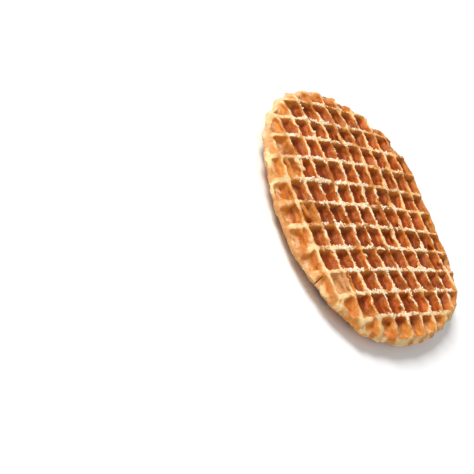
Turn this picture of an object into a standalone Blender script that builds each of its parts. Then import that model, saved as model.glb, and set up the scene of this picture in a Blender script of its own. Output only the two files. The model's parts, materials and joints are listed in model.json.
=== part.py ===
"""A thin round syrup waffle: a square grid of narrow ridges on both faces, with a low uneven rim."""

import math
import random

import bmesh
import bpy
from mathutils import Vector

MM = 0.001

# Driving sizes
WAFFLE_RADIUS = 50.0 * MM
THICKNESS = 7.4 * MM
PITCH = 8.5 * MM
CELLS_ACROSS = 14

# Ridge grid: where a crossing lies, measured in pitches from the middle of the waffle
CROSSING_OFFSET_X = -0.23
CROSSING_OFFSET_Y = 0.35
UNDERSIDE_SHIFT = 0.06
RIDGE_BOW = 1.6 * MM
CROSSING_WANDER = 0.22 * MM
WANDER_SEED = 11

# Pit section, from the crest down to the floor
CREST_HALF_WIDTH = 0.45 * MM
SHOULDER_RUN = 0.30 * MM
SHOULDER_DROP = 0.40 * MM
WALL_RUN = 1.0 * MM
PIT_DEPTH = 2.6 * MM
CREST_UNEVEN = 0.07 * MM
DEPTH_UNEVEN = 0.15 * MM

# Outline: swell of the radius as (waves round the rim, share of the radius, degrees of the crest)
OUTLINE_SWELLS = (
    (1, 0.026, 138.0),
    (2, 0.041, -22.0),
    (3, 0.016, 43.0),
    (4, 0.023, 47.0),
    (5, 0.009, -16.0),
    (6, 0.010, 4.0),
)

# Where the outline bulges further: share of the radius, degrees of the middle, degrees over which it fades
OUTLINE_BULGES = (
    (0.044, -52.0, 20.0),
    (0.050, -31.0, 10.0),
    (0.020, -13.0, 6.0),
    (0.026, 38.0, 18.0),
    (0.028, 127.0, 5.0),
)
RIM_STEPS = 180
NOSE_HEIGHT = 0.6 * MM

# Rim section: a thin lip, with a wide margin in front where the top ridges sink and the pits grow shallow
LIP_THICKNESS = 1.5 * MM
LIP_ROUNDING = 0.6 * MM
EDGE_INSET_SHARE = 0.3
EDGE_HEIGHT_SHARE = 0.6
SLOPE_FRONT = 0.5 * MM
SLOPE_BACK = 1.2 * MM
MARGIN_FRONT = 7.0 * MM
MARGIN_BACK = 1.8 * MM
MARGIN_FRONT_ANGLE = math.radians(-80.0)
MARGIN_FRONT_REACH = 0.35
MARGIN_DROP = 1.5 * MM
MARGIN_SHALLOW_SHARE = 0.4
SHOULDER_SHARE = 0.42
SHOULDER_RISE = 0.66
CLEAR_OF_CREST = 0.35 * MM
CAP_CLEARANCE = 4.0 * MM

# Gentle bend of the whole waffle along X: lowest on one column of ridges, with a level seat beside it
BEND_HEIGHT = 1.2 * MM
BEND_LENGTH = 57.0 * MM
BEND_LOW_COLUMN = 1
BEND_SEAT_SHARE = 0.22

# Crack in the front rim
CRACK_ANGLE = math.radians(-59.0)
CRACK_LENGTH = 3.4 * MM
CRACK_WIDTH = 0.7 * MM
CUTTER_OVERHANG = 1.0 * MM

CRUST_COLOUR = (0.56, 0.27, 0.08, 1.0)
CRUST_ROUGHNESS = 0.62


def clear_scene():
    for obj in list(bpy.data.objects):
        bpy.data.objects.remove(obj, do_unlink=True)


def low_column_x():
    return (BEND_LOW_COLUMN + CROSSING_OFFSET_X) * PITCH


def bend_lift(x):
    """Height that the bend adds at x: nothing on the seat, most half a bend away."""
    turn = 2.0 * math.pi * (x - low_column_x()) / BEND_LENGTH
    wave = (1.0 - math.cos(turn)) / 2.0
    return BEND_HEIGHT * max(0.0, wave - BEND_SEAT_SHARE) / (1.0 - BEND_SEAT_SHARE)


def ridge_bow(y):
    """The ridges that run along Y bow towards +X at both ends."""
    return RIDGE_BOW * (y / WAFFLE_RADIUS) ** 2


def nose(x, y):
    """How far the rim swells where a ridge meets it: 1 on a ridge, -1 between ridges."""
    across = math.cos(2.0 * math.pi * (x / PITCH - CROSSING_OFFSET_X))
    along = math.cos(2.0 * math.pi * (y / PITCH - CROSSING_OFFSET_Y))
    return max(across, along)


def outline_radius(angle):
    swell = 1.0
    for waves, share, crest in OUTLINE_SWELLS:
        swell += share * math.cos(waves * (angle - math.radians(crest)))
    for share, middle, fade in OUTLINE_BULGES:
        away = math.remainder(angle - math.radians(middle), 2.0 * math.pi) / math.radians(fade)
        swell += share * math.exp(-away * away)
    radius = WAFFLE_RADIUS * swell
    x = radius * math.cos(angle)
    y = radius * math.sin(angle)
    return radius + NOSE_HEIGHT * nose(x, y)


def front_share(angle):
    """1 in the middle of the front, falling to 0 round the back."""
    return max(0.0, (math.cos(angle - MARGIN_FRONT_ANGLE) + MARGIN_FRONT_REACH) / (1.0 + MARGIN_FRONT_REACH))


def margin_width(angle):
    return MARGIN_BACK + (MARGIN_FRONT - MARGIN_BACK) * front_share(angle)


def slope_width(angle):
    return SLOPE_BACK + (SLOPE_FRONT - SLOPE_BACK) * front_share(angle)


def margin_share(x, y):
    """How far a place lies out in the front margin: 0 at its inner edge, 1 on the outline and beyond."""
    angle = math.atan2(y, x)
    outwards = 1.0 - (outline_radius(angle) - math.hypot(x, y)) / margin_width(angle)
    return front_share(angle) * min(1.0, max(0.0, outwards))


def outline_centre():
    """Middle of the outline's box, which becomes the origin."""
    xs = []
    ys = []
    for step in range(RIM_STEPS):
        angle = 2.0 * math.pi * step / RIM_STEPS
        xs.append(outline_radius(angle) * math.cos(angle))
        ys.append(outline_radius(angle) * math.sin(angle))
    return Vector(((min(xs) + max(xs)) / 2.0, (min(ys) + max(ys)) / 2.0, 0.0))


def grid_face(bm, height, shift, drop, draw):
    """One face of the slab: a grid whose corners are the ridge crossings, slightly astray."""
    half = CELLS_ACROSS * PITCH / 2.0
    made = bmesh.ops.create_grid(bm, x_segments=CELLS_ACROSS, y_segments=CELLS_ACROSS, size=half)
    verts = made["verts"]
    for vert in verts:
        x = vert.co.x + (CROSSING_OFFSET_X + shift) * PITCH + CROSSING_WANDER * draw.uniform(-1.0, 1.0)
        y = vert.co.y + (CROSSING_OFFSET_Y + shift) * PITCH + CROSSING_WANDER * draw.uniform(-1.0, 1.0)
        x += ridge_bow(y)
        vert.co = Vector((x, y, height + bend_lift(x) - drop * margin_share(x, y)))
    faces = {face for vert in verts for face in vert.link_faces}
    return sorted(faces, key=lambda face: face.index), verts


def sink_pit(bm, face, shallow_share, draw):
    """Inset a cell three times: flat crest, shoulder, then the steep wall down to the floor."""
    crest = CREST_HALF_WIDTH + draw.uniform(-1.0, 1.0) * CREST_UNEVEN
    depth = PIT_DEPTH + draw.uniform(-1.0, 1.0) * DEPTH_UNEVEN
    middle = face.calc_center_median()
    depth *= 1.0 - shallow_share * margin_share(middle.x, middle.y)
    bmesh.ops.inset_individual(bm, faces=[face], thickness=crest, depth=0.0)
    bmesh.ops.inset_individual(bm, faces=[face], thickness=SHOULDER_RUN, depth=-SHOULDER_DROP)
    bmesh.ops.inset_individual(bm, faces=[face], thickness=WALL_RUN, depth=-(depth - SHOULDER_DROP))


def boundary_edges(verts):
    edges = {edge for vert in verts for edge in vert.link_edges if edge.is_boundary}
    return sorted(edges, key=lambda edge: edge.index)


def make_slab():
    """A square slab, larger than the waffle, with pits on both faces."""
    draw = random.Random(WANDER_SEED)
    bm = bmesh.new()
    top_faces, top_verts = grid_face(bm, THICKNESS, 0.0, MARGIN_DROP, draw)
    low_faces, low_verts = grid_face(bm, 0.0, UNDERSIDE_SHIFT, 0.0, draw)
    bm.faces.index_update()
    bm.edges.index_update()
    bmesh.ops.reverse_faces(bm, faces=low_faces)
    bmesh.ops.bridge_loops(bm, edges=boundary_edges(top_verts) + boundary_edges(low_verts))
    for face in top_faces:
        sink_pit(bm, face, MARGIN_SHALLOW_SHARE, draw)
    for face in low_faces:
        sink_pit(bm, face, 0.0, draw)
    bmesh.ops.recalc_face_normals(bm, faces=bm.faces)
    return new_object("waffle", bm)


def rim_ring(bm, inset, width, share, height, follows_bend, capped):
    """A closed ring that follows the outline, set in from it by a length and a share of a width."""
    made = bmesh.ops.create_circle(bm, cap_ends=capped, segments=RIM_STEPS, radius=1.0)
    for vert in made["verts"]:
        angle = math.atan2(vert.co.y, vert.co.x)
        radius = outline_radius(angle) - inset - share * width(angle)
        x = radius * math.cos(angle)
        y = radius * math.sin(angle)
        lift = bend_lift(x) if follows_bend else 0.0
        vert.co = Vector((x, y, height + lift))
    verts = set(made["verts"])
    edges = {edge for vert in verts for edge in vert.link_edges}
    return sorted(edges, key=lambda edge: edge.verts[0].index)


def side_rings(width, inset, side):
    """Rings from the lip to a cap clear of the crests, on the upper side (1) or the lower one (-1)."""
    middle = THICKNESS / 2.0
    lip = LIP_THICKNESS / 2.0
    rise = middle + CLEAR_OF_CREST - lip
    # (inset, share of the width, height over the lip's middle, follows the bend, capped)
    profile = (
        (EDGE_INSET_SHARE * LIP_ROUNDING, 0.0, EDGE_HEIGHT_SHARE * lip, True, False),
        (LIP_ROUNDING, 0.0, lip, True, False),
        (inset, SHOULDER_SHARE, lip + SHOULDER_RISE * rise, True, False),
        (inset, 1.0, lip + rise, True, False),
        (inset, 1.0, middle + CAP_CLEARANCE, False, True),
    )
    rings = []
    for ring_inset, share, height, bent, capped in profile:
        rings.append((ring_inset, width, share, middle + side * height, bent, capped))
    return rings


def make_rim_form():
    """The closed form that trims the slab: a lip, a narrow slope over it and the wide margin under it."""
    edge = [(0.0, slope_width, 0.0, THICKNESS / 2.0, True, False)]
    upper = side_rings(slope_width, LIP_ROUNDING, 1.0)
    lower = side_rings(margin_width, 0.0, -1.0)
    bm = bmesh.new()
    rings = [rim_ring(bm, *ring) for ring in lower[::-1] + edge + upper]
    for below, above in zip(rings, rings[1:]):
        bmesh.ops.bridge_loops(bm, edges=below + above)
    bmesh.ops.recalc_face_normals(bm, faces=bm.faces)
    return new_object("rim_form", bm)


def make_crack_cutter():
    """A thin upright wedge whose point lies inside the rim and whose back stands clear of it."""
    outside = outline_radius(CRACK_ANGLE) + CUTTER_OVERHANG
    tip = outline_radius(CRACK_ANGLE) - CRACK_LENGTH
    outward = Vector((math.cos(CRACK_ANGLE), math.sin(CRACK_ANGLE), 0.0))
    sideways = Vector((-outward.y, outward.x, 0.0)) * CRACK_WIDTH / 2.0
    below = Vector((0.0, 0.0, -CUTTER_OVERHANG))
    bm = bmesh.new()
    corners = [outward * tip, outward * outside + sideways, outward * outside - sideways]
    verts = [bm.verts.new(corner + below) for corner in corners]
    base = bm.faces.new(verts)
    raised = bmesh.ops.extrude_face_region(bm, geom=[base])
    raised_verts = [item for item in raised["geom"] if isinstance(item, bmesh.types.BMVert)]
    bmesh.ops.translate(bm, verts=raised_verts, vec=Vector((0.0, 0.0, 2.0 * THICKNESS)))
    bmesh.ops.recalc_face_normals(bm, faces=bm.faces)
    return new_object("crack_cutter", bm)


def new_object(name, bm):
    mesh = bpy.data.meshes.new(name)
    bm.to_mesh(mesh)
    bm.free()
    obj = bpy.data.objects.new(name, mesh)
    obj.location = -outline_centre()
    bpy.context.scene.collection.objects.link(obj)
    return obj


def crust_material():
    material = bpy.data.materials.new("baked_crust")
    material.use_nodes = True
    shader = material.node_tree.nodes["Principled BSDF"]
    shader.inputs["Base Color"].default_value = CRUST_COLOUR
    shader.inputs["Roughness"].default_value = CRUST_ROUGHNESS
    shader.inputs["Metallic"].default_value = 0.0
    return material


def trim(obj, cutter, operation):
    cutter.hide_render = True
    cutter.display_type = "WIRE"
    modifier = obj.modifiers.new(cutter.name, "BOOLEAN")
    modifier.operation = operation
    modifier.solver = "EXACT"
    modifier.object = cutter


def main():
    clear_scene()
    waffle = make_slab()
    waffle.data.materials.append(crust_material())
    trim(waffle, make_rim_form(), "INTERSECT")
    trim(waffle, make_crack_cutter(), "DIFFERENCE")


main()
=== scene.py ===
"""Dresses a round syrup waffle: crumbly ridges and pits, browning by depth, and a plain pale stage."""

import json
import math
import random

import bpy
import numpy as np
from bpy.props import FloatProperty, FloatVectorProperty, IntProperty, PointerProperty
from mathutils import Matrix, Vector
from mathutils.bvhtree import BVHTree

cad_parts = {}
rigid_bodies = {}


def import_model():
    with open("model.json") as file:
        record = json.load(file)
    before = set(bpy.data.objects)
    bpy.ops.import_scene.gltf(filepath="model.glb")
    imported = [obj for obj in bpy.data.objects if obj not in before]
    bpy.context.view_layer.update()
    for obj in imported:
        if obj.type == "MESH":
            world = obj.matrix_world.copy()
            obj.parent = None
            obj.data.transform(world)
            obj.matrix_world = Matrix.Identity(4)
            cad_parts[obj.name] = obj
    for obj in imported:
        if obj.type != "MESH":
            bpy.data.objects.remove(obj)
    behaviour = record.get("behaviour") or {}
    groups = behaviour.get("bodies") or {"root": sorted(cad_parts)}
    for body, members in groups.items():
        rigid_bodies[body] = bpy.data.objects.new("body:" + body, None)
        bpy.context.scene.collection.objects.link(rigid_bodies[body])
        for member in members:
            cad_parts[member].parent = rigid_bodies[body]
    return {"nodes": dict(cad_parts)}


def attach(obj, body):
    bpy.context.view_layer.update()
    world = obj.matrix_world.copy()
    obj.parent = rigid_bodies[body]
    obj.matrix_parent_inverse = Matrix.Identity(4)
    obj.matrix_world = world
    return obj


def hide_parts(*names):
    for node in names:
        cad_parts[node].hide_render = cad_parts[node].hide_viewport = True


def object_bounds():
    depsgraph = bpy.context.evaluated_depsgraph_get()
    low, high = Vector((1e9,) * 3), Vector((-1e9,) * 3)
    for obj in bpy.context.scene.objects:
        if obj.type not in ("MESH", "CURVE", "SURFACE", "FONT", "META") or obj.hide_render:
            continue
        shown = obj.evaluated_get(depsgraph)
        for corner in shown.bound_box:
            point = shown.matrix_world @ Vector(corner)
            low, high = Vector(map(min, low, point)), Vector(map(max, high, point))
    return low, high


bl_info = {
    "name": "Syrup waffle",
    "version": (1, 0, 0),
    "blender": (4, 5, 0),
    "location": "3D View > Sidebar > Waffle",
    "description": "Bakes the crust of a round syrup waffle and lays its stage",
    "category": "Object",
}

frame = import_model()
CAD_LOW, CAD_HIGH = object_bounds()
MIDDLE_HEIGHT = (CAD_LOW.z + CAD_HIGH.z) / 2.0

MM = 0.001
NODE = "waffle"
BODY = "root"


def mm(*numbers):
    """A place or a size given in millimetres."""
    return Vector(numbers) * MM


# Ridge grid of the solid: spacing, place of one crossing, numbers of the ridges, and bow of those along Y
PITCH = 8.5 * MM
CROSSING = mm(-0.710, 3.230)
RIDGES = range(-6, 7)
RIDGE_BOW = 1.6 * MM
BOW_REACH = 50.0 * MM

# Direction of the wide margin in front
FRONT = math.radians(-65.0)

# Ends of the ridges: how far in from the outline they start in front and elsewhere, and where they stop
FRONT_END_RUN = 7.0 * MM
FAR_END_RUN = 3.5 * MM
END_INSET = 0.1 * MM

# Bead that closes the pits along the rim: from and to which degrees, how far in, how low, and its size
BEADS = (
    (-165.0, -56.0, 0.8 * MM, 0.0, mm(0.65, 1.3, 0.75)),
    (-56.0, 20.0, 1.5 * MM, 0.0, mm(1.1, 1.35, 1.05)),
    (20.0, 98.0, 1.7 * MM, 0.0, mm(1.1, 1.4, 1.1)),
    (98.0, 195.0, 1.7 * MM, 0.9 * MM, mm(1.1, 1.4, 1.2)),
)
BEAD_STEP = 1.1 * MM

# Stray ridges in the margin, from end to end, and the step between the lumps of a ridge
SHORT_RIDGES = (
    (mm(25.2, -33.4), mm(33.0, -32.9)),
    (mm(23.9, -28.4), mm(33.0, -28.5)),
    (mm(34.6, -30.4), mm(43.0, -30.2)),
    (mm(35.0, -36.4), mm(41.0, -36.2)),
    (mm(41.5, -20.8), mm(47.0, -20.6)),
    (mm(-20.5, -28.9), mm(-13.0, -28.6)),
    (mm(1.2, -36.4), mm(7.8, -33.6)),
    (mm(-15.6, -36.0), mm(-9.4, -34.4)),
    (mm(10.4, -41.8), mm(17.6, -41.0)),
)
LUMP_STEP = 0.9 * MM

# Pits pressed into the margin (middle, half length, half width), how deep, how far up, and the crack
PRESSED_PITS = (
    (mm(30.4, -40.9), 3.6 * MM, 1.5 * MM),
    (mm(38.6, -33.2), 3.5 * MM, 1.3 * MM),
    (mm(44.2, -24.2), 2.7 * MM, 1.7 * MM),
    (mm(48.0, -16.5), 2.0 * MM, 2.4 * MM),
)
PRESSED_DEPTH = 1.9 * MM
PRESSED_RISE = Vector((0.0, 0.0, 0.4 * MM))
CRACK = mm(27.6, -43.2, 4.2)
CRACK_SIZE = mm(3.3, 0.24, 5.0)

# Shallow bites in the rim, where the rows of pits run out at its lowest side
NOTCH_ROWS = range(-3, 4)
NOTCH_SIZE = mm(2.2, 2.6, 9.0)
NOTCH_DEPTH = 0.9 * MM

# Long dark slits in the floors of the first row of pits
DARK_SLITS = (mm(-2.8, -45.9), mm(6.7, -46.4), mm(28.0, -35.0))
SLIT_SIZE = mm(1.3, 0.38, 1.3)

# Holes that go down into the crests: place and radius
CREST_HOLES = (
    (mm(32.5, -9.2), 0.95 * MM),
    (mm(32.8, -16.4), 0.55 * MM),
    (mm(32.7, -18.2), 0.5 * MM),
    (mm(7.1, -1.7), 0.6 * MM),
)

# Ridges that swell towards the far side just before a crossing: (column, row, size in millimetres)
KNOBS = (
    (-1, 1, 1.0), (0, 1, 1.15), (-1, 2, 1.0), (0, 2, 1.2), (0, 3, 0.9), (1, 2, 1.1), (1, 3, 0.9),
    (2, 0, 0.8), (2, 3, 1.0), (3, 2, 0.9), (3, 4, 0.9), (-3, 0, 0.9), (-2, 3, 1.0),
)

# The balls of such a knob: the step to each from the crossing or the last one, and its half lengths
KNOB_BALLS = (
    (Vector((-1.7 * MM, -1.0 * MM, -0.8 * MM)), Vector((1.25, 1.05, 1.1))),
    (Vector((-1.2 * MM, 0.6 * MM, 0.2 * MM)), Vector((1.2, 0.8, 1.0))),
)
KNOB_TURN = 0.4

# Spots that browned most, in millimetres: middle, half length and half width, in the pressed pits
PIT_SPOTS = (
    (Vector((30.9, -40.2)), 3.2, 1.1),
    (Vector((38.8, -32.8)), 3.6, 1.1),
    (Vector((45.0, -25.6)), 3.0, 2.0),
    (Vector((48.0, -16.5)), 2.2, 2.4),
)

# One more in each pit of the front row
FRONT_SPOTS = tuple((Vector((-12.3 + 8.5 * number, -41.6)), 3.3, 1.5) for number in range(5))

# And some on the outer edge: how far out, in which directions, and how large
EDGE_SPOT_RADIUS = 48.3
EDGE_SPOT_DEGREES = (-112.0, -100.0, -88.5, -78.0, -68.5, -58.0, -49.0, -43.0)
EDGE_SPOT_SIZE = 1.7
EDGE_SPOTS = tuple(
    (Vector((math.cos(angle), math.sin(angle))) * EDGE_SPOT_RADIUS, EDGE_SPOT_SIZE, EDGE_SPOT_SIZE)
    for angle in map(math.radians, EDGE_SPOT_DEGREES)
)

# Cells whose dough stays pale: their row, and each one's column and how pale it is
PALE_ROW = -5
PALE_CELLS = ((-3, 0.3), (-2, 0.45), (-1, 0.28), (0, 0.45), (1, 0.33), (2, 0.15), (3, 0.9))

# Where the rim hardly browned and where a little, how far in, and how bare the palest cells are
BARE_SIDE = math.radians(-152.0)
HALF_BARE_SIDE = math.radians(-100.0)
HALF_BARE = 0.2
BARE_WIDTH = 2.2 * MM
BARE_CELLS = 0.75

# Where the crests start to turn thin and golden, towards which side, and over what reach
GILD_SIDE = (-0.6, 0.8)
GILD_START = 2.0 * MM
GILD_REACH = 30.0 * MM

# How far the crests are cut flat, and how the ridges' ends are rounded at the far rim
CREST_CUT = 0.18 * MM
RIM_ROUND = 1.6 * MM
RIM_DROP = 0.7 * MM

# Depths under the crests: down to where a crest reaches, and for the places of lumps, pores and slits
CREST_BAND = 0.9 * MM
LUMP_BAND = 0.25 * MM
PORE_BAND = 0.45 * MM
SLIT_DEPTH = 0.9 * MM

# How far in from the outline the pores lie at least, and the slits at least and at most
PORE_INSET = 8.0 * MM
SLIT_LEAST = 2.5 * MM
SLIT_MOST = 11.0 * MM

# Height maps of the two faces: their grid, how far a crest line reaches over a pit, and where the rays start
MAP_STEP = 0.5 * MM
CREST_REACH = 5.0 * MM
OVER_FACE = 5.0 * MM

# The outline: in how many directions it is known, steps of a walk to it, and a reading point near the middle
OUTLINE_BINS = 180
WALK_STEP = 0.25 * MM
WALK_STEPS = 240
LEAST_WALK = 8.0 * MM
NEAR_MIDDLE = 1e-6

# How often the round patterns of the lumps, cutters and flakes are divided, and levels of the vertex groups
LUMP_DETAIL = 2
CUTTER_DETAIL = 3
FLAKE_DETAIL = 1
WEIGHT_LEVELS = 20

# Seeds of the random draws, and tries for each random place
CRUST_SEED = 5
FLAKE_SEED = 8
TRIES_EACH = 400

# Flakes: how deep under the crests they lie, as a share of the pits' depth, and how far their corners stray
FLAKE_DEPTH = 0.09
FLAKE_STRAY = 0.05 * MM

# The stage: the floor's width, and each light's name, place, size and power
FLOOR_WIDTH = 6.0
LIGHTS = (
    ("window", Vector((-0.79, -0.44, 0.83)), 0.5, 16.2),
    ("fill", Vector((0.65, -0.40, 0.75)), 1.2, 3.0),
)
WORLD_LIGHT = 0.38

# The photo's camera, fitted to the ridge crossings and the outline
CAMERA_PLACE = mm(98.07, -267.79, 153.9)
CAMERA_AZIMUTH = math.radians(23.58)
CAMERA_ELEVATION = math.radians(35.03)
CAMERA_ROLL = math.radians(55.13)
SENSOR_WIDTH = 36.0
CLIPPING = (0.01, 20.0)

# Layout of a material's nodes: how many in a column, room for how many columns, and the spacing
COLUMN_NODES = 8
NODE_COLUMNS = 11
NODE_SPACING = 300.0


def distance(name, description, millimetres):
    return FloatProperty(name=name, description=description, default=millimetres * MM, unit="LENGTH")


def amount(name, description, default):
    return IntProperty(name=name, description=description, default=default)


def tint(name, description, default):
    return FloatVectorProperty(name=name, description=description, subtype="COLOR", size=3, default=default)


class CrustSizes(bpy.types.PropertyGroup):
    grain: distance("Grain", "Size of the finest form that the crust's mesh holds", 0.30)
    ridge_sway: distance("Ridge sway", "How far the ridges wander sideways", 0.55)
    crest_crumble: distance("Crest crumble", "Depth of the ragged crumbs along the crests", 0.30)
    pit_unevenness: distance("Pit unevenness", "Height of the soft lumps in the pits", 0.45)
    pit_depth: distance("Pit depth", "Depth at which the crust is darkest", 2.6)
    margin: distance("Pale margin", "Width of the pale dough behind the rim", 13.0)
    triangles: amount("Triangles", "Most triangles that the finished crust keeps", 192000)
    lumps: amount("Lumps", "Lumps of dough that swell the ridges", 240)
    pores: amount("Pores", "Small air holes along the crests", 90)
    slits: amount("Slits", "Long air holes in the pale margin", 26)
    flakes: amount("Flakes", "Dry crumbs that stand on the crests", 2400)


class CrustColours(bpy.types.PropertyGroup):
    crest: tint("Crest", "Dough on the crests", (0.99, 0.85, 0.63))
    thin_crest: tint("Thin crest", "Dough on the ridges along X", (0.98, 0.77, 0.53))
    gilt: tint("Gilt", "Golden crests on the far side", (0.92, 0.60, 0.29))
    shoulder: tint("Shoulder", "Golden shoulders", (0.83, 0.45, 0.15))
    edge: tint("Pit edge", "Orange edges of the pits", (0.58, 0.18, 0.018))
    wall: tint("Wall", "Orange-brown pit walls", (0.38, 0.074, 0.005))
    floor: tint("Floor", "Red-brown pit floors", (0.25, 0.038, 0.003))
    # Painted light: a brighter orange for the pit walls that face the window
    painted_lit_wall: tint("Near wall", "Orange walls that face the front", (0.61, 0.150, 0.018))
    # Painted shade: a golden colour for walls turned away from the window, lighter than the pits' own walls
    # and warmer than the pale dough
    painted_shade_gold: tint("Far wall", "Golden walls that the light doesn't reach", (0.80, 0.29, 0.04))
    pale: tint("Pale dough", "Smooth dough at the rim", (0.92, 0.66, 0.32))
    pale_floor: tint("Pale floor", "Shallow pits near the rim", (0.88, 0.50, 0.24))
    # Blush: real orange blotches on the pale dough, and also painted shade on its steep slopes
    blush_and_shade: tint("Blush", "Orange blotches on pale dough", (0.50, 0.15, 0.016))
    # Painted light: a bright orange for the margin's slopes that face the window
    painted_light_amber: tint("Amber", "Bright orange slopes in the margin", (0.74, 0.29, 0.05))
    toasted: tint("Toasted", "Orange spots that browned most", (0.58, 0.155, 0.018))
    bare: tint("Bare rim", "Unbrowned dough at the rim", (0.85, 0.61, 0.32))
    dry_flake: tint("Dry flake", "Driest crumbs on the crests", (0.98, 0.80, 0.54))


class StageSettings(bpy.types.PropertyGroup):
    floor: tint("Floor", "Colour of the plain floor", (0.92, 0.92, 0.92))
    focal_length: FloatProperty(
        name="Focal length", description="Focal length of the camera in millimetres", default=68.1
    )


def activate(*objects):
    """Select these objects alone, and make the first the active one."""
    bpy.ops.object.select_all(action="DESELECT")
    for obj in objects:
        obj.select_set(True)
    bpy.context.view_layer.objects.active = objects[0]


def modify(obj, name, kind, **values):
    """Give the object a modifier with these values, and apply it."""
    modifier = obj.modifiers.new(name, kind)
    for key, value in values.items():
        setattr(modifier, key, value)
    activate(obj)
    bpy.ops.object.modifier_apply(modifier=modifier.name)


def vertex_points(obj):
    points = np.empty(len(obj.data.vertices) * 3)
    obj.data.vertices.foreach_get("co", points)
    return points.reshape(-1, 3)


def move_vertices(obj, points):
    obj.data.vertices.foreach_set("co", points.ravel())
    obj.data.update()


def free_copy(node):
    """A free copy of the fixed solid's mesh, its loose triangles joined."""
    mesh = frame["nodes"][node].data.copy()
    mesh.materials.clear()
    obj = bpy.data.objects.new("waffle_crust", mesh)
    bpy.context.scene.collection.objects.link(obj)
    activate(obj)
    bpy.ops.object.mode_set(mode="EDIT")
    bpy.ops.mesh.select_all(action="SELECT")
    bpy.ops.mesh.remove_doubles(threshold=0.001 * MM)
    bpy.ops.object.mode_set(mode="OBJECT")
    return obj


def ball_pattern(subdivisions):
    """A round pattern of unit radius, to be copied and shaped."""
    bpy.ops.mesh.primitive_ico_sphere_add(subdivisions=subdivisions, radius=1.0)
    return bpy.context.object


def copies(pattern, placements, name):
    """One object of many copies of the pattern, each moved by a matrix; the pattern is removed."""
    base = vertex_points(pattern)
    faces = [tuple(face.vertices) for face in pattern.data.polygons]
    points = []
    corners = []
    for number, placement in enumerate(placements):
        turn = np.array(placement.to_3x3())
        points.append(base @ turn.T + np.array(placement.translation))
        first = number * len(base)
        corners.extend(tuple(first + corner for corner in face) for face in faces)
    mesh = bpy.data.meshes.new(name)
    mesh.from_pydata(np.concatenate(points).tolist(), [], corners)
    obj = bpy.data.objects.new(name, mesh)
    bpy.context.scene.collection.objects.link(obj)
    bpy.data.objects.remove(pattern, do_unlink=True)
    return obj


def placed(place, size, turn=0.0):
    return Matrix.Translation(place) @ Matrix.Rotation(turn, 4, "Z") @ Matrix.Diagonal((*size, 1.0))


def smoothed(obj, values, rounds):
    """Values at the vertices, averaged with their neighbours' a few times."""
    edges = np.empty(len(obj.data.edges) * 2, dtype=int)
    obj.data.edges.foreach_get("vertices", edges)
    first, second = edges.reshape(-1, 2).T
    for _ in range(rounds):
        total = values.copy()
        count = np.ones(len(values))
        np.add.at(total, first, values[second])
        np.add.at(total, second, values[first])
        np.add.at(count, first, 1.0)
        np.add.at(count, second, 1.0)
        values = total / count[:, None]
    return values


def clipped(values):
    """The values, kept between 0 and 1."""
    return np.clip(values, 0.0, 1.0)


def direction(points):
    return np.arctan2(points[:, 1], points[:, 0])


def on_top(points):
    return points[:, 2] > MIDDLE_HEIGHT


def bow(y):
    """How far the ridges along Y bend to +X at this distance from the middle."""
    return RIDGE_BOW * (y / BOW_REACH) ** 2


def across_ridges(x, y):
    """Distance along X from the ridge numbered 0."""
    return x - bow(y) - CROSSING.x


def off_ridge(x, y):
    """Distance along X from the nearest ridge along Y."""
    across = across_ridges(x, y)
    return abs(across - np.rint(across / PITCH) * PITCH)


def outline_by_angle(points):
    """Largest radius in each direction from the origin, as a closed table."""
    radius = np.hypot(points[:, 0], points[:, 1])
    bins = ((direction(points) + math.pi) / (2.0 * math.pi) * OUTLINE_BINS).astype(int) % OUTLINE_BINS
    reach = np.zeros(OUTLINE_BINS)
    np.maximum.at(reach, bins, radius)
    return reach


def outline_inset(points, reach):
    """Distance in from the outline, measured along the radius."""
    place = (direction(points) + math.pi) / (2.0 * math.pi) * OUTLINE_BINS - 0.5
    below = np.floor(place).astype(int)
    part = place - below
    limit = reach[below % OUTLINE_BINS] * (1.0 - part) + reach[(below + 1) % OUTLINE_BINS] * part
    return limit - np.hypot(points[:, 0], points[:, 1])


def inset_at(place, reach):
    return outline_inset(np.array([place]), reach)[0]


def front_share(points):
    """1 in front, where the margin is widest, and 0 behind."""
    return clipped(0.55 + 0.55 * np.cos(direction(points) - FRONT))


def gilded(points):
    """1 on the far side, where the crests are thin and golden, 0 in front."""
    towards = GILD_SIDE[1] * points[:, 1] + GILD_SIDE[0] * points[:, 0]
    return clipped((towards - GILD_START) / GILD_REACH)


def margin_share(points, reach, sizes):
    """How far each point lies out in the pale margin, which is widest in front: 1 on the outline."""
    width = sizes.margin * (0.38 + 0.62 * front_share(points))
    return clipped(1.0 - outline_inset(points, reach) / width)


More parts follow.
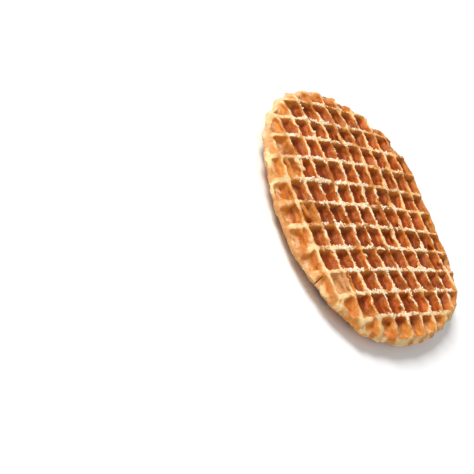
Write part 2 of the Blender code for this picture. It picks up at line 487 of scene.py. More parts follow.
class FaceMap:
    """Heights of one face on a square grid, and the crest line above each place."""

    def __init__(self, obj, side):
        self.side = side
        edge = Vector((MAP_STEP, MAP_STEP))
        self.low = CAD_LOW.to_2d() - edge
        span = CAD_HIGH.to_2d() + edge - self.low
        self.columns = int(span.x / MAP_STEP) + 2
        self.rows = int(span.y / MAP_STEP) + 2
        start = CAD_HIGH.z + OVER_FACE if side > 0 else CAD_LOW.z - OVER_FACE
        faces = [tuple(face.vertices) for face in obj.data.polygons]
        tree = BVHTree.FromPolygons(vertex_points(obj).tolist(), faces)
        self.height = np.full((self.columns, self.rows), np.nan)
        for i in range(self.columns):
            for j in range(self.rows):
                origin = Vector((self.low.x + i * MAP_STEP, self.low.y + j * MAP_STEP, start))
                place = tree.ray_cast(origin, Vector((0.0, 0.0, -side)))[0]
                if place is not None:
                    self.height[i, j] = side * place.z
        self.crest = self.soften(self.close_pits())

    def close_pits(self):
        """Heights with the pits bridged, on the lines that run square to the radius."""
        raised = self.reach_along_rim(self.height, np.fmax)
        return self.reach_along_rim(raised, np.fmin)

    def reach_along_rim(self, values, choose):
        x, y = np.meshgrid(np.arange(self.columns), np.arange(self.rows), indexing="ij")
        x = self.low.x + x * MAP_STEP
        y = self.low.y + y * MAP_STEP
        radius = np.maximum(np.hypot(x, y), MAP_STEP)
        best = values.copy()
        steps = int(CREST_REACH / MAP_STEP)
        for step in range(-steps, steps + 1):
            shift = step * MAP_STEP / radius
            i, j = self.indices(x - y * shift, y + x * shift)
            best = choose(best, values[i, j])
        return best

    def soften(self, values):
        """Mean with the neighbours that lie on the face."""
        for _ in range(3):
            known = ~np.isnan(values)
            total = np.where(known, values, 0.0)
            count = known.astype(float)
            for axis in (0, 1):
                total = np.roll(total, 1, axis=axis) + total + np.roll(total, -1, axis=axis)
                count = np.roll(count, 1, axis=axis) + count + np.roll(count, -1, axis=axis)
            values = np.where(count > 0.0, total / np.maximum(count, 1.0), np.nan)
        return values

    def indices(self, x, y):
        i = np.clip(np.rint((x - self.low.x) / MAP_STEP).astype(int), 0, self.columns - 1)
        j = np.clip(np.rint((y - self.low.y) / MAP_STEP).astype(int), 0, self.rows - 1)
        return i, j

    def place_at(self, point, heights):
        i, j = self.indices(np.array([point.x]), np.array([point.y]))
        return Vector((point.x, point.y, self.side * heights[i[0], j[0]]))

    def on_crest(self, point):
        """The point of the crest line above a place."""
        return self.place_at(point, self.crest)

    def on_face(self, point):
        """The point of the face itself at a place."""
        return self.place_at(point, self.height)

    def depth(self, points):
        """How far each point lies under the crests around it."""
        i, j = self.indices(points[:, 0], points[:, 1])
        found = self.crest[i, j] - self.side * points[:, 2]
        return np.nan_to_num(np.maximum(found, 0.0))

    def random_places(self, draw, wanted, apart, test):
        """Random places on the face that pass the test and lie some way apart."""
        found = []
        tries = 0
        while len(found) < wanted and tries < TRIES_EACH * wanted:
            tries += 1
            i = draw.randrange(self.columns)
            j = draw.randrange(self.rows)
            height = self.height[i, j]
            if np.isnan(height):
                continue
            place = Vector((self.low.x + i * MAP_STEP, self.low.y + j * MAP_STEP, self.side * height))
            depth = self.crest[i, j] - height
            if test(place, depth) and all((place - other).length > apart for other in found):
                found.append(place)
        return found

    def crossing(self, column, row):
        """The place where two ridges cross."""
        x = CROSSING.x + column * PITCH
        y = CROSSING.y + row * PITCH
        return self.on_crest(Vector((x + bow(y), y)))

    def crossings_inside(self, reach, clear):
        """Every crossing that lies at least some way in from the outline."""
        for column in RIDGES:
            for row in RIDGES:
                place = self.crossing(column, row)
                if inset_at(place, reach) > clear:
                    yield place


def walk_out(start, along, reach, inset):
    """The point on a ridge, walking outwards, that lies this far in from the outline."""
    point = start.copy()
    for _ in range(WALK_STEPS):
        bowed = Vector((point.x + bow(point.y), point.y))
        if inset_at(bowed, reach) < inset:
            return bowed if (point - start).length > LEAST_WALK else None
        point += along * WALK_STEP
    return None


def add_dough(crust, sizes, draw, top, under, reach):
    """All the dough that the plain solid lacks, joined to it as one mesh."""
    placements = [*ridge_lumps(sizes, draw, top, 0.65), *ridge_lumps(sizes, draw, under, 0.35)]
    for face in (top, under):
        placements += crossing_lumps(draw, face, reach)
        placements += ridge_ends(draw, face, reach)
    placements += rim_beads(draw, top, reach)
    placements += broad_ridges(draw, top, reach, sizes)
    placements += short_ridges(draw, top)
    placements += knobs(top)
    activate(crust, copies(ball_pattern(LUMP_DETAIL), placements, "dough"))
    bpy.ops.object.join()


def ridge_lumps(sizes, draw, face, part):
    """Lumps just under the crests swell the ridges here and there."""
    wanted = int(sizes.lumps * part)
    for place in face.random_places(draw, wanted, 1.0 * MM, lambda place, depth: depth < LUMP_BAND):
        radius = draw.uniform(0.6, 1.05) * MM
        place.z -= face.side * draw.uniform(0.75, 1.2) * radius
        place.x += draw.uniform(-0.5, 0.5) * MM
        place.y += draw.uniform(-0.5, 0.5) * MM
        size = Vector((draw.uniform(0.8, 1.6), draw.uniform(0.8, 1.6), 1.0)) * radius
        yield placed(place, size, draw.uniform(0.0, math.pi))


def crossing_lumps(draw, face, reach):
    """Webs of dough round off the corners of the pits."""
    for place in face.crossings_inside(reach, 1.5 * MM):
        for _ in range(2):
            radius = draw.uniform(1.1, 1.75) * MM
            centre = place + mm(draw.uniform(-0.6, 0.6), draw.uniform(-0.6, 0.6), 0.0)
            centre.z -= face.side * (radius + draw.uniform(-0.05, 0.45) * MM)
            size = Vector((draw.uniform(0.85, 1.2), draw.uniform(0.85, 1.2), 1.0)) * radius
            yield placed(centre, size, draw.uniform(0.0, math.pi))


def ridge_ends(draw, face, reach):
    """Rounded humps where the ridges run out to the rim, long over the wide margin in front."""
    for number in RIDGES:
        for along in map(Vector, ((0.0, -1.0), (1.0, 0.0), (0.0, 1.0), (-1.0, 0.0))):
            if along.x == 0.0:
                start = Vector((CROSSING.x + number * PITCH, 0.0))
            else:
                start = Vector((0.0, CROSSING.y + number * PITCH))
            front = along.y < 0.0 or along.x > 0.0
            high = walk_out(start, along, reach, FRONT_END_RUN if front else FAR_END_RUN)
            low = walk_out(start, along, reach, END_INSET)
            if high is None or low is None:
                continue
            ends = [face.on_crest(point) for point in (high, low)]
            middle = (ends[0] + ends[1]) / 2.0
            run = ends[1] - ends[0]
            middle.z -= face.side * draw.uniform(0.55, 0.8) * MM
            width = draw.uniform(1.5, 1.9) * MM if front else draw.uniform(1.15, 1.5) * MM
            size = Vector((run.length * 0.56, width, draw.uniform(1.15, 1.35) * MM))
            turn = run.to_track_quat("X", "Z").to_matrix().to_4x4()
            yield Matrix.Translation(middle) @ turn @ Matrix.Diagonal((*size, 1.0))


def rim_beads(draw, face, reach):
    """A soft bead of dough that closes the cut pits along the rim, lower on the far side."""
    for start, end, inset, drop, size in BEADS:
        low = math.radians(start)
        high = math.radians(end)
        steps = int((high - low) * BOW_REACH / BEAD_STEP)
        for step in range(steps + 1):
            angle = low + (high - low) * step / steps
            out = Vector((math.cos(angle), math.sin(angle)))
            limit = inset_at((out.x * NEAR_MIDDLE, out.y * NEAR_MIDDLE), reach)
            place = face.on_crest(out * (limit - inset * draw.uniform(0.85, 1.15)))
            place.z -= face.side * (drop + draw.uniform(1.15, 1.45) * size.z)
            yield placed(place, size * draw.uniform(0.9, 1.1), angle)


def broad_ridges(draw, face, reach, sizes):
    """Dough that broadens the ridges along Y, and every ridge that crosses the wide margin."""
    places = []
    for number in RIDGES:
        for travel in np.arange(-BOW_REACH, BOW_REACH, LUMP_STEP):
            places.append((CROSSING.x + number * PITCH + bow(travel), travel, 1.0))
            y = CROSSING.y + number * PITCH
            places.append((travel + bow(y), y, 0.0))
    places = np.array(places)
    outwards = margin_share(places, reach, sizes) * (front_share(places) > 0.3)
    insets = outline_inset(places, reach)
    for (x, y, along_y), out, inset, gild in zip(places, outwards, insets, gilded(places)):
        wide = (draw.uniform(0.6, 0.95) + 0.35 * out - 0.25 * gild) * MM
        if inset < 1.0 * MM or (not along_y and out < 0.08):
            continue
        place = face.on_crest(Vector((x, y)))
        if not along_y:
            wide *= 0.85
        place.x += draw.uniform(-0.2, 0.2) * MM
        place.y += draw.uniform(-0.2, 0.2) * MM
        place.z -= face.side * (draw.uniform(0.6, 0.85) - 0.12 * out) * MM
        yield placed(place, Vector((wide, max(wide, 0.8 * MM), 0.8 * MM)))


def short_ridges(draw, face):
    """Stray ridges between the last full pits and the bead."""
    for start, end in SHORT_RIDGES:
        steps = int((end - start).length / LUMP_STEP)
        for step in range(steps + 1):
            place = face.on_crest(start.lerp(end, step / steps))
            place.y += draw.uniform(-0.25, 0.25) * MM
            place.z -= face.side * draw.uniform(1.2, 1.5) * MM
            yield placed(place, mm(1.0, draw.uniform(0.8, 1.1), draw.uniform(0.9, 1.15)))


def knobs(face):
    """Overflowing dough that pushes a ridge sideways just before a crossing."""
    for column, row, size in KNOBS:
        place = face.crossing(column, row)
        for step, form in KNOB_BALLS:
            place += step
            yield placed(place, form * size * MM, KNOB_TURN)


def prick(crust, sizes, draw, top, reach):
    """Cut the air holes, slits, pressed pits and crest holes, and the bites in the rim."""
    placements = list(air_holes(sizes, draw, top, reach))
    for middle in DARK_SLITS:
        placements.append(placed(top.on_face(middle), SLIT_SIZE, 0.1))
    for middle, long, wide in PRESSED_PITS:
        placements.append(placed(top.on_crest(middle) + PRESSED_RISE, Vector((long, wide, PRESSED_DEPTH))))
    placements += notches(reach)
    for middle, radius in CREST_HOLES:
        placements.append(placed(top.on_crest(middle), Vector((1.3, 0.8, 1.8)) * radius, math.pi / 2.0))
    cut(crust, placements, "air_holes")


def air_holes(sizes, draw, top, reach):
    """Round pores on the crests and slits in the floors of the pale margin."""

    def on_crests(place, depth):
        return depth < PORE_BAND and inset_at(place, reach) > PORE_INSET

    def in_margin(place, depth):
        return place.y < 0.0 and depth > SLIT_DEPTH and SLIT_LEAST < inset_at(place, reach) < SLIT_MOST

    for place in top.random_places(draw, sizes.pores, 1.6 * MM, on_crests):
        radius = draw.uniform(0.22, 0.5) * MM
        size = Vector((draw.uniform(0.8, 1.5), draw.uniform(0.8, 1.5), 1.2)) * radius
        yield placed(place, size, draw.uniform(0.0, math.pi))
    for place in top.random_places(draw, sizes.slits, 3.0 * MM, in_margin):
        size = mm(draw.uniform(0.9, 1.6), draw.uniform(0.25, 0.4), 0.9)
        yield placed(place, size, draw.uniform(-0.5, 0.5))


def notches(reach):
    """Shallow bites in the rim between the ends of the ridges along X."""
    for row in NOTCH_ROWS:
        point = Vector((0.0, CROSSING.y + (row + 0.5) * PITCH, CAD_LOW.z + NOTCH_SIZE.z))
        while inset_at(point, reach) > 0.0:
            point.x += WALK_STEP
        yield placed(point + Vector((NOTCH_SIZE.x - NOTCH_DEPTH, 0.0, 0.0)), NOTCH_SIZE)


def crack(crust):
    """A thin crack that runs in from the front rim."""
    cut(crust, [placed(CRACK, CRACK_SIZE, math.atan2(CRACK.y, CRACK.x) + 0.1)], "rim_crack")


def cut(crust, placements, name):
    cutter = copies(ball_pattern(CUTTER_DETAIL), placements, name)
    modify(crust, name, "BOOLEAN", operation="DIFFERENCE", solver="MANIFOLD", object=cutter)
    bpy.data.objects.remove(cutter, do_unlink=True)


def depth_of(points, top, under):
    return np.where(on_top(points), top.depth(points), under.depth(points))


def weigh_by_depth(crust, sizes, top, under, reach):
    """Vertex groups for the crests, the pits and the smooth margin."""
    points = vertex_points(crust)
    depth = depth_of(points, top, under)
    soft = clipped(1.6 * margin_share(points, reach, sizes))
    weigh(crust, "crest", clipped(1.0 - depth / CREST_BAND) * (1.0 - 0.85 * soft))
    weigh(crust, "pit", clipped((depth - CREST_BAND) / CREST_BAND))
    weigh(crust, "soft", soft)


def weigh(crust, name, values):
    group = crust.vertex_groups.new(name=name)
    levels = np.rint(values * WEIGHT_LEVELS).astype(int)
    for level in range(1, WEIGHT_LEVELS + 1):
        chosen = np.nonzero(levels == level)[0].tolist()
        if chosen:
            group.add(chosen, level / WEIGHT_LEVELS, "REPLACE")


def round_off(crust):
    """Soft edges everywhere, and pits as round as bowls."""
    for name, group, iterations in (("round", "", 3), ("bowls", "pit", 22), ("soft", "soft", 13)):
        modify(crust, name, "SMOOTH", factor=0.5, iterations=iterations, vertex_group=group)


def flatten(crust, top, under, reach):
    """Crests as flat as the grooves of the iron, and lower where the ridges end at the far rim."""
    points = vertex_points(crust)
    outer = clipped(1.0 - outline_inset(points, reach) / RIM_ROUND)
    far = clipped(1.0 - 1.8 * front_share(points))
    least = CREST_CUT + RIM_DROP * far * outer ** 2
    upper = on_top(points)
    for face, chosen in ((top, upper), (under, ~upper)):
        i, j = face.indices(points[:, 0], points[:, 1])
        height = face.side * points[:, 2]
        crest = face.crest[i, j]
        lowered = np.where(np.isnan(crest), height, np.minimum(height, crest - least))
        points[chosen, 2] = face.side * lowered[chosen]
    move_vertices(crust, points)


def crumble(crust, sizes):
    """Wandering ridges, ragged crumbs on the crests, and soft lumps in the pits."""
    for name, way, group, scale, detail, strength, level in (
        ("sway_x", "X", "", 6.6 * MM, 1, 2.0 * sizes.ridge_sway, 0.5),
        ("sway_y", "Y", "", 3.6 * MM, 1, 3.5 * sizes.ridge_sway, 0.5),
        ("sway_z", "Z", "crest", 3.8 * MM, 1, 1.6 * sizes.ridge_sway, 0.5),
        ("crumbs", "NORMAL", "crest", 1.1 * MM, 2, 2.0 * sizes.crest_crumble, 0.62),
        ("flaking", "NORMAL", "crest", 0.55 * MM, 1, 0.9 * sizes.crest_crumble, 0.6),
        ("pit_lumps", "NORMAL", "pit", 2.6 * MM, 2, 2.0 * sizes.pit_unevenness, 0.5),
        ("skin", "NORMAL", "", 0.8 * MM, 2, 0.14 * MM, 0.5),
    ):
        cloud = bpy.data.textures.new(name, "CLOUDS")
        cloud.noise_scale = scale
        cloud.noise_depth = detail
        modify(crust, name, "DISPLACE", texture=cloud, texture_coords="LOCAL", mid_level=level,
               strength=strength, vertex_group=group, direction=way)


def thin_out(crust, sizes):
    """Fewer triangles where the crust is flat."""
    crust.data.calc_loop_triangles()
    modify(crust, "thin_out", "DECIMATE", ratio=min(1.0, sizes.triangles / len(crust.data.loop_triangles)))


def keep_in_box(crust, reach):
    """Nothing stands outside the solid's own outline and box."""
    points = vertex_points(crust)
    over = np.maximum(0.0, -outline_inset(points, reach))
    radius = np.hypot(points[:, 0], points[:, 1])
    points[:, :2] *= (1.0 - over / radius)[:, None]
    move_vertices(crust, np.clip(points, np.array(CAD_LOW), np.array(CAD_HIGH)))


def measure(crust, sizes, top, under, reach):
    """Attributes for the browning and for the painted light and shade: depth, paleness, slope, kind of ridge,
    and bare or browned spots.
    """
    points = vertex_points(crust)
    depth = depth_of(points, top, under) / sizes.pit_depth
    normals = np.empty(len(points) * 3)
    crust.data.vertices.foreach_get("normal", normals)
    normals = smoothed(crust, normals.reshape(-1, 3), 5)
    for name, values in (
        ("depth", depth),
        ("bake", smoothed(crust, depth[:, None], 6)[:, 0]),
        ("pale", margin_share(points, reach, sizes) + pale_cells(points)),
        # lean faces the front and lee faces away from the window; they carry the painted light and shade
        ("lean", -normals[:, 1]),
        ("lee", normals[:, 0]),
        ("steep", 1.0 - np.abs(normals[:, 2])),
        ("broad_ridge", 1.0 - (off_ridge(points[:, 0], points[:, 1]) - 0.9 * MM) / (0.8 * MM)),
        ("gild", gilded(points)),
        ("toast", toasted(points)),
        ("bare", bare_rim(points, reach)),
    ):
        layer = crust.data.attributes.new(name, "FLOAT", "POINT")
        layer.data.foreach_set("value", clipped(values).astype(np.float32))
    crust.vertex_groups.clear()


def toasted(points):
    """1 in the middle of the spots that browned most, 0 away from them."""
    found = np.zeros(len(points))
    for middle, long, wide in PIT_SPOTS + FRONT_SPOTS + EDGE_SPOTS:
        off = ((points[:, 0] / MM - middle.x) / long) ** 2 + ((points[:, 1] / MM - middle.y) / wide) ** 2
        found = np.maximum(found, np.exp(-off))
    return found * on_top(points)


def bare_rim(points, reach):
    """1 on the outline where the rim hardly browned, less in the palest cells, and 0 elsewhere."""
    angle = direction(points)
    side = clipped(3.2 * np.cos(angle - BARE_SIDE) - 2.3)
    side = np.maximum(side, HALF_BARE * clipped(2.0 * np.cos(angle - HALF_BARE_SIDE) - 0.6))
    rim = side * clipped(1.3 - outline_inset(points, reach) / BARE_WIDTH)
    return np.maximum(rim, BARE_CELLS * clipped(pale_cells(points) - 0.5))


def pale_cells(points):
    """How much paler the dough is in the cells that hardly browned."""
    column = across_ridges(points[:, 0], points[:, 1]) / PITCH
    row = (points[:, 1] - CROSSING.y) / PITCH
    found = np.zeros(len(points))
    for left, paler in PALE_CELLS:
        off = np.maximum(np.abs(column - left - 0.5), np.abs(row - PALE_ROW - 0.5))
        found += paler * clipped(1.0 - (off - 0.45) / 0.15)
    return found * on_top(points)


class WAFFLE_OT_crust(bpy.types.Operator):
    """Bake the crust: lump and crumble the ridges, prick the air holes and brown the pits"""

    bl_idname = "object.waffle_crust_add"
    bl_label = "Bake the crust"

    def execute(self, context):
        sizes = context.scene.crust_sizes
        draw = random.Random(CRUST_SEED)
        crust = free_copy(NODE)
        top = FaceMap(crust, 1)
        under = FaceMap(crust, -1)
        reach = outline_by_angle(vertex_points(crust))
        add_dough(crust, sizes, draw, top, under, reach)
        modify(crust, "fuse", "REMESH", mode="VOXEL", voxel_size=sizes.grain)
        prick(crust, sizes, draw, top, reach)
        weigh_by_depth(crust, sizes, top, under, reach)
        round_off(crust)
        flatten(crust, top, under, reach)
        crack(crust)
        crumble(crust, sizes)
        thin_out(crust, sizes)
        keep_in_box(crust, reach)
        measure(crust, sizes, top, under, reach)
        bpy.ops.object.shade_smooth()
        crust.data.materials.clear()
        crust.data.materials.append(crust_material(context.scene.crust_colours))
        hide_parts(NODE)
        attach(crust, BODY)
        crust["baked"] = True
        return {"FINISHED"}


def strewn(crust, wanted):
    """Where the flakes lie: fewer on the ridges along X, on pale dough and on the far side."""
    draw = random.Random(FLAKE_SEED)
    points = vertex_points(crust)
    pale = measured(crust, "pale")
    gild = gilded(points)
    crests = np.nonzero((measured(crust, "depth") < FLAKE_DEPTH) & on_top(points))[0]
    placements = []
    while len(placements) < wanted:
        chosen = crests[draw.randrange(len(crests))]
        place = Vector(points[chosen])
        thick = 1.0 if off_ridge(place.x, place.y) < 1.0 * MM else 0.16
        if draw.random() > thick * (1.0 - 2.2 * pale[chosen]) * (1.0 - 0.75 * gild[chosen]):
            continue
        radius = 0.17 * MM + 0.30 * MM * draw.random() ** 3.0
        size = Vector((draw.uniform(1.0, 2.4), draw.uniform(0.6, 1.1), draw.uniform(0.2, 0.35))) * radius
        lean = Matrix.Rotation(draw.uniform(-0.5, 0.5), 4, "X")
        lean = lean @ Matrix.Rotation(draw.uniform(-0.5, 0.5), 4, "Y")
        place.z += draw.uniform(-0.2, 0.1) * radius
        placements.append(placed(place, size, draw.uniform(0.0, math.pi)) @ lean)
    return placements


def measured(crust, name):
    values = np.empty(len(crust.data.vertices))
    crust.data.attributes[name].data.foreach_get("value", values)
    return values


class WAFFLE_OT_flakes(bpy.types.Operator):
    """Strew dry flakes and crumbs of dough along the crests"""

    bl_idname = "object.waffle_flakes_add"
    bl_label = "Strew the flakes"

    def execute(self, context):
        crust = next((obj for obj in bpy.data.objects if obj.get("baked")), None)
        if crust is None:
            raise RuntimeError("The flakes lie on the crust, so the crust is baked first")
        placements = strewn(crust, context.scene.crust_sizes.flakes)
        flakes = copies(ball_pattern(FLAKE_DETAIL), placements, "crest_flakes")
        points = vertex_points(flakes)
        stray = np.random.default_rng(FLAKE_SEED).uniform(-1.0, 1.0, points.shape) * FLAKE_STRAY
        move_vertices(flakes, np.clip(points + stray, CAD_LOW, CAD_HIGH))
        activate(flakes)
        bpy.ops.object.shade_smooth()
        flakes.data.materials.append(flake_material(context.scene.crust_colours))
        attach(flakes, BODY)
        return {"FINISHED"}


class Nodes:
    """A material and its nodes, which take numbers, colours, node outputs or attribute names."""

    def __init__(self, name):
        self.material = bpy.data.materials.new(name)
        self.material.use_nodes = True
        self.tree = self.material.node_tree
        self.shader = self.tree.nodes["Principled BSDF"]

    def add(self, kind, **values):
        column, row = divmod(len(self.tree.nodes), COLUMN_NODES)
        node = self.tree.nodes.new(kind)
        node.location = (NODE_SPACING * (column - NODE_COLUMNS), -NODE_SPACING * row)
        for name, value in values.items():
            setattr(node, name, value)
        return node

    def feed(self, sockets, values):
        """Set each socket to its number or colour, or link it to its node output or attribute."""
        for socket, value in zip(sockets, values):
            if isinstance(value, str):
                value = self.attribute(value)
            if isinstance(value, bpy.types.NodeSocket):
                self.tree.links.new(value, socket)
            elif isinstance(value, (int, float)):
                socket.default_value = value
            else:
                socket.default_value = (*value, 1.0)

    def feed_named(self, node, **values):
        """Feed the inputs of a node by their names, with underscores for the spaces."""
        self.feed([node.inputs[name.replace("_", " ")] for name in values], values.values())

    def attribute(self, name):
        if name not in self.tree.nodes:
            self.add("ShaderNodeAttribute", name=name, attribute_name=name)
        return self.tree.nodes[name].outputs["Fac"]

    def noise(self, size, detail, roughness):
        """Cloudy noise whose blotches are about the given size across."""
        node = self.add("ShaderNodeTexNoise")
        place = self.add("ShaderNodeTexCoord").outputs["Object"]
        self.feed_named(node, Scale=1.0 / size, Detail=detail, Roughness=roughness, Vector=place)
        return node.outputs["Fac"]

    def ramp(self, value, stops):
        """A colour ramp with the given (position, colour) stops."""
        node = self.add("ShaderNodeValToRGB")
        elements = node.color_ramp.elements
        while len(elements) < len(stops):
            elements.new(1.0)
        for element, (position, tone) in zip(elements, stops):
            element.position = position
            element.color = (*tone, 1.0)
        self.feed(node.inputs, [value])
        return node.outputs["Color"]

    def maths(self, operation, first, second, clamp=False):
        node = self.add("ShaderNodeMath", operation=operation, use_clamp=clamp)
        self.feed(node.inputs, (first, second))
        return node.outputs[0]

    def spread(self, value, start, end, low=0.0, high=1.0):
        """From low to high as the value goes from start to end, and level outside them."""
        node = self.add("ShaderNodeMapRange")
        self.feed_named(node, Value=value, From_Min=start, From_Max=end, To_Min=low, To_Max=high)
        return node.outputs["Result"]

    def mottle(self, noise, low, high):
        """The noise, spread over a range."""
        return self.spread(noise, 0.3, 0.7, low, high)

    def both(self, first, second):
        """Two shares multiplied. Each is a value, or a value with the range that it is spread over."""
        first, second = (self.spread(*part) if isinstance(part, tuple) else part for part in (first, second))
        return self.maths("MULTIPLY", first, second)

    def mix(self, factor, first, second, blend="MIX"):
        node = self.add("ShaderNodeMix", data_type="RGBA", blend_type=blend)
        self.feed((node.inputs[0], node.inputs[6], node.inputs[7]), (factor, first, second))
        return node.outputs[2]


class CrustNodes(Nodes):
    """The nodes of the crust, with the noise and the depths that all its colours share."""

    def __init__(self, name):
        super().__init__(name)
        self.broad = self.noise(9.0 * MM, 2.0, 0.5)
        self.cloudy = self.noise(2.6 * MM, 3.0, 0.6)
        self.fine = self.noise(0.55 * MM, 3.0, 0.65)
        shift = self.maths("ADD", self.mottle(self.broad, -0.10, 0.10), self.mottle(self.cloudy, -0.07, 0.07))
        shift = self.maths("ADD", shift, self.mottle(self.fine, -0.05, 0.05))
        self.raised = self.maths("ADD", "depth", shift, clamp=True)
        self.browned = self.maths("ADD", "bake", shift, clamp=True)


def crust_material(colours):
    """Deep pits and cream crests inside, smooth golden dough in the margin."""
    nodes = CrustNodes("baked_crust")
    paleness = nodes.maths("ADD", "pale", nodes.mottle(nodes.cloudy, -0.15, 0.15))
    paleness = nodes.maths("SUBTRACT", paleness, nodes.spread("depth", 0.1, 0.9, 0.0, 0.16))
    paleness = nodes.spread(paleness, 0.15, 0.55)
    bump = nodes.add("ShaderNodeBump")
    nodes.feed_named(bump, Strength=0.5, Distance=0.25 * MM, Height=nodes.fine)
    nodes.feed_named(
        nodes.shader,
        Base_Color=nodes.mix(paleness, pit_colour(nodes, colours), rim_colour(nodes, colours)),
        Roughness=nodes.mottle(nodes.fine, 0.38, 0.62),
        Normal=bump.outputs["Normal"],
        Specular_IOR_Level=0.22,
        Subsurface_Weight=0.12,
        Subsurface_Scale=1.6 * MM,
    )
    nodes.shader.inputs["Subsurface Radius"].default_value = (1.0, 0.45, 0.2)
    return nodes.material


def pit_colour(nodes, colours):
    """Golden shoulders, orange-brown walls and red-brown floors under cream crests, with painted light on
    walls that face the window and painted bounce light on walls that face away.
    """
    inside = nodes.ramp(nodes.browned, (
        (0.14, colours.shoulder),
        (0.27, colours.edge),
        (0.45, colours.wall),
        (0.85, colours.floor),
    ))
    # Painted light: walls that face the window turn the brighter near-wall orange
    facing = nodes.both(("lean", 0.25, 0.8), (nodes.browned, 0.12, 0.3))
    facing = nodes.both(facing, (nodes.cloudy, 0.35, 0.6, 0.2, 1.0))
    inside = nodes.mix(facing, inside, colours.painted_lit_wall)
    # Painted bounce light: walls that face away from the window turn a lighter gold than the pit walls
    sheltered = nodes.both(("lee", 0.2, 0.7, 0.0, 0.9), (nodes.browned, 0.45, 0.75, 1.0, 0.15))
    sheltered = nodes.both(sheltered, (nodes.broad, 0.38, 0.58, 0.15, 1.0))
    inside = nodes.mix(sheltered, inside, colours.painted_shade_gold)
    mottled = nodes.both((nodes.fine, 0.3, 0.7, 0.58, 1.36), (nodes.broad, 0.35, 0.62, 1.16, 0.84))
    inside = nodes.mix(1.0, inside, mottled, blend="MULTIPLY")
    return nodes.mix(on_crest_share(nodes), inside, crest_colour(nodes, colours))


def crest_colour(nodes, colours):
    """Cream on the ridges along Y, duller along X, golden on the far side and in broad blotches."""
    crest = nodes.mix("broad_ridge", colours.thin_crest, colours.crest)
    crest = nodes.mix(nodes.both("gild", (nodes.cloudy, 0.3, 0.6, 0.75, 0.3)), crest, colours.gilt)
    return nodes.mix(nodes.spread(nodes.broad, 0.40, 0.56, 0.5, 0.0), crest, colours.shoulder)


def on_crest_share(nodes):
    """1 on the crests, which are narrower on the far side; painted shade takes the cream off their sides that
    face away from the window.
    """
    thinned = nodes.maths("ADD", nodes.raised, nodes.both("gild", 0.05))
    # Painted shade: less cream where the crest faces away from the window
    return nodes.both((thinned, 0.08, 0.16, 1.0, 0.0), ("lee", 0.30, 0.60, 1.0, 0.2))


def rim_colour(nodes, colours):
    """Cream humps, pinkish pit floors, orange-brown where it is low, bare places, and painted light and
    shade: blush where it is steep, amber where it faces the window, gold where it faces away.
    """
    floor = nodes.mix(nodes.spread(nodes.cloudy, 0.42, 0.60), colours.pale_floor, colours.blush_and_shade)
    dough = nodes.mix(nodes.spread(nodes.browned, 0.08, 0.26), colours.pale, floor)
    inside = nodes.spread(nodes.browned, 0.04, 0.18)
    # Painted light: slopes that face the window turn bright amber
    front = nodes.both(("lean", 0.20, 0.5, 0.0, 0.95), (nodes.browned, 0.04, 0.14))
    spot = nodes.both(("toast", 0.25, 0.8, 0.0, 0.95), (nodes.cloudy, 0.3, 0.6, 0.55, 1.0))
    for factor, colour in (
        # Painted shade, partly browning: steep slopes in the margin's pits turn the darker blush orange
        (nodes.both(("steep", 0.07, 0.30, 0.0, 0.9), inside), colours.blush_and_shade),
        (nodes.both(front, ("pale", 0.78, 0.94, 1.0, 0.3)), colours.painted_light_amber),
        # Painted shade: slopes that face away from the window turn golden orange
        (nodes.both(inside, ("lee", 0.12, 0.45, 0.0, 0.7)), colours.painted_shade_gold),
        (spot, colours.toasted),
        (nodes.both("bare", (nodes.cloudy, 0.3, 0.55, 0.5, 1.0)), colours.bare),
    ):
        dough = nodes.mix(factor, dough, colour)
    return nodes.mix(1.0, dough, nodes.mottle(nodes.fine, 0.80, 1.12), blend="MULTIPLY")


def flake_material(colours):
    """Dry crumbs, from golden to cream."""
    nodes = Nodes("dry_flakes")
    tone = nodes.ramp(nodes.noise(0.9 * MM, 3.0, 0.6), (
        (0.30, colours.shoulder),
        (0.44, colours.crest),
        (0.62, colours.dry_flake),
    ))
    nodes.feed_named(nodes.shader, Base_Color=tone, Roughness=0.75)
    return nodes.material


def lay_floor(settings):
    bpy.ops.mesh.primitive_plane_add(size=FLOOR_WIDTH, location=(0.0, 0.0, CAD_LOW.z))
    floor = bpy.context.object
    floor.name = "floor"
    nodes = Nodes("plain_floor")
    nodes.feed_named(nodes.shader, Base_Color=settings.floor, Roughness=0.9)
    floor.data.materials.append(nodes.material)


def hang_lights(context):
    for name, place, size, power in LIGHTS:
        bpy.ops.object.light_add(type="AREA", location=place)
        light = bpy.context.object
        light.name = name
        light.data.size = size
        light.data.energy = power
        light.rotation_euler = place.to_track_quat("Z", "Y").to_euler()
    world = bpy.data.worlds.new("soft_room")
    world.use_nodes = True
    background = world.node_tree.nodes["Background"]
    background.inputs["Color"].default_value = (1.0, 1.0, 1.0, 1.0)
    background.inputs["Strength"].default_value = WORLD_LIGHT
    context.scene.world = world
    context.scene.view_settings.view_transform = "Standard"


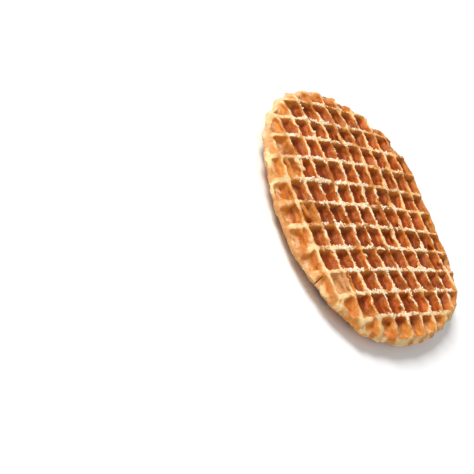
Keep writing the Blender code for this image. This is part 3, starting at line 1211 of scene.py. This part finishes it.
def set_camera(context, settings):
    data = bpy.data.cameras.new("camera")
    data.lens = settings.focal_length
    data.sensor_width = SENSOR_WIDTH
    data.clip_start, data.clip_end = CLIPPING
    camera = bpy.data.objects.new("camera", data)
    turn = Matrix.Rotation(CAMERA_AZIMUTH, 4, "Z")
    tilt = Matrix.Rotation(math.pi / 2.0 - CAMERA_ELEVATION, 4, "X")
    roll = Matrix.Rotation(CAMERA_ROLL, 4, "Z")
    camera.matrix_world = Matrix.Translation(CAMERA_PLACE) @ turn @ tilt @ roll
    context.scene.collection.objects.link(camera)
    context.scene.camera = camera


class WAFFLE_OT_stage(bpy.types.Operator):
    """Lay the plain floor, the soft lights and the camera"""

    bl_idname = "scene.waffle_stage_add"
    bl_label = "Lay the stage"

    def execute(self, context):
        settings = context.scene.stage_settings
        lay_floor(settings)
        hang_lights(context)
        set_camera(context, settings)
        return {"FINISHED"}


class WAFFLE_PT_panel(bpy.types.Panel):
    """Lists the waffle's steps and settings"""

    bl_idname = "WAFFLE_PT_panel"
    bl_label = "Syrup waffle"
    bl_space_type = "VIEW_3D"
    bl_region_type = "UI"
    bl_category = "Waffle"

    def draw(self, context):
        for name, _ in GROUPS:
            group = getattr(context.scene, name)
            for prop in group.bl_rna.properties:
                if prop.identifier not in ("rna_type", "name"):
                    self.layout.prop(group, prop.identifier)
        for step in STEPS:
            self.layout.operator(step.bl_idname)


GROUPS = (("crust_sizes", CrustSizes), ("crust_colours", CrustColours), ("stage_settings", StageSettings))
STEPS = (WAFFLE_OT_crust, WAFFLE_OT_flakes, WAFFLE_OT_stage)


def register():
    for name, group in GROUPS:
        bpy.utils.register_class(group)
        setattr(bpy.types.Scene, name, PointerProperty(type=group))
    for item in (*STEPS, WAFFLE_PT_panel):
        bpy.utils.register_class(item)


def unregister():
    for item in (WAFFLE_PT_panel, *reversed(STEPS)):
        bpy.utils.unregister_class(item)
    for name, group in reversed(GROUPS):
        delattr(bpy.types.Scene, name)
        bpy.utils.unregister_class(group)


def main():
    register()
    bpy.ops.object.waffle_crust_add()
    bpy.ops.object.waffle_flakes_add()
    bpy.ops.scene.waffle_stage_add()


if __name__ == "__main__":
    main()
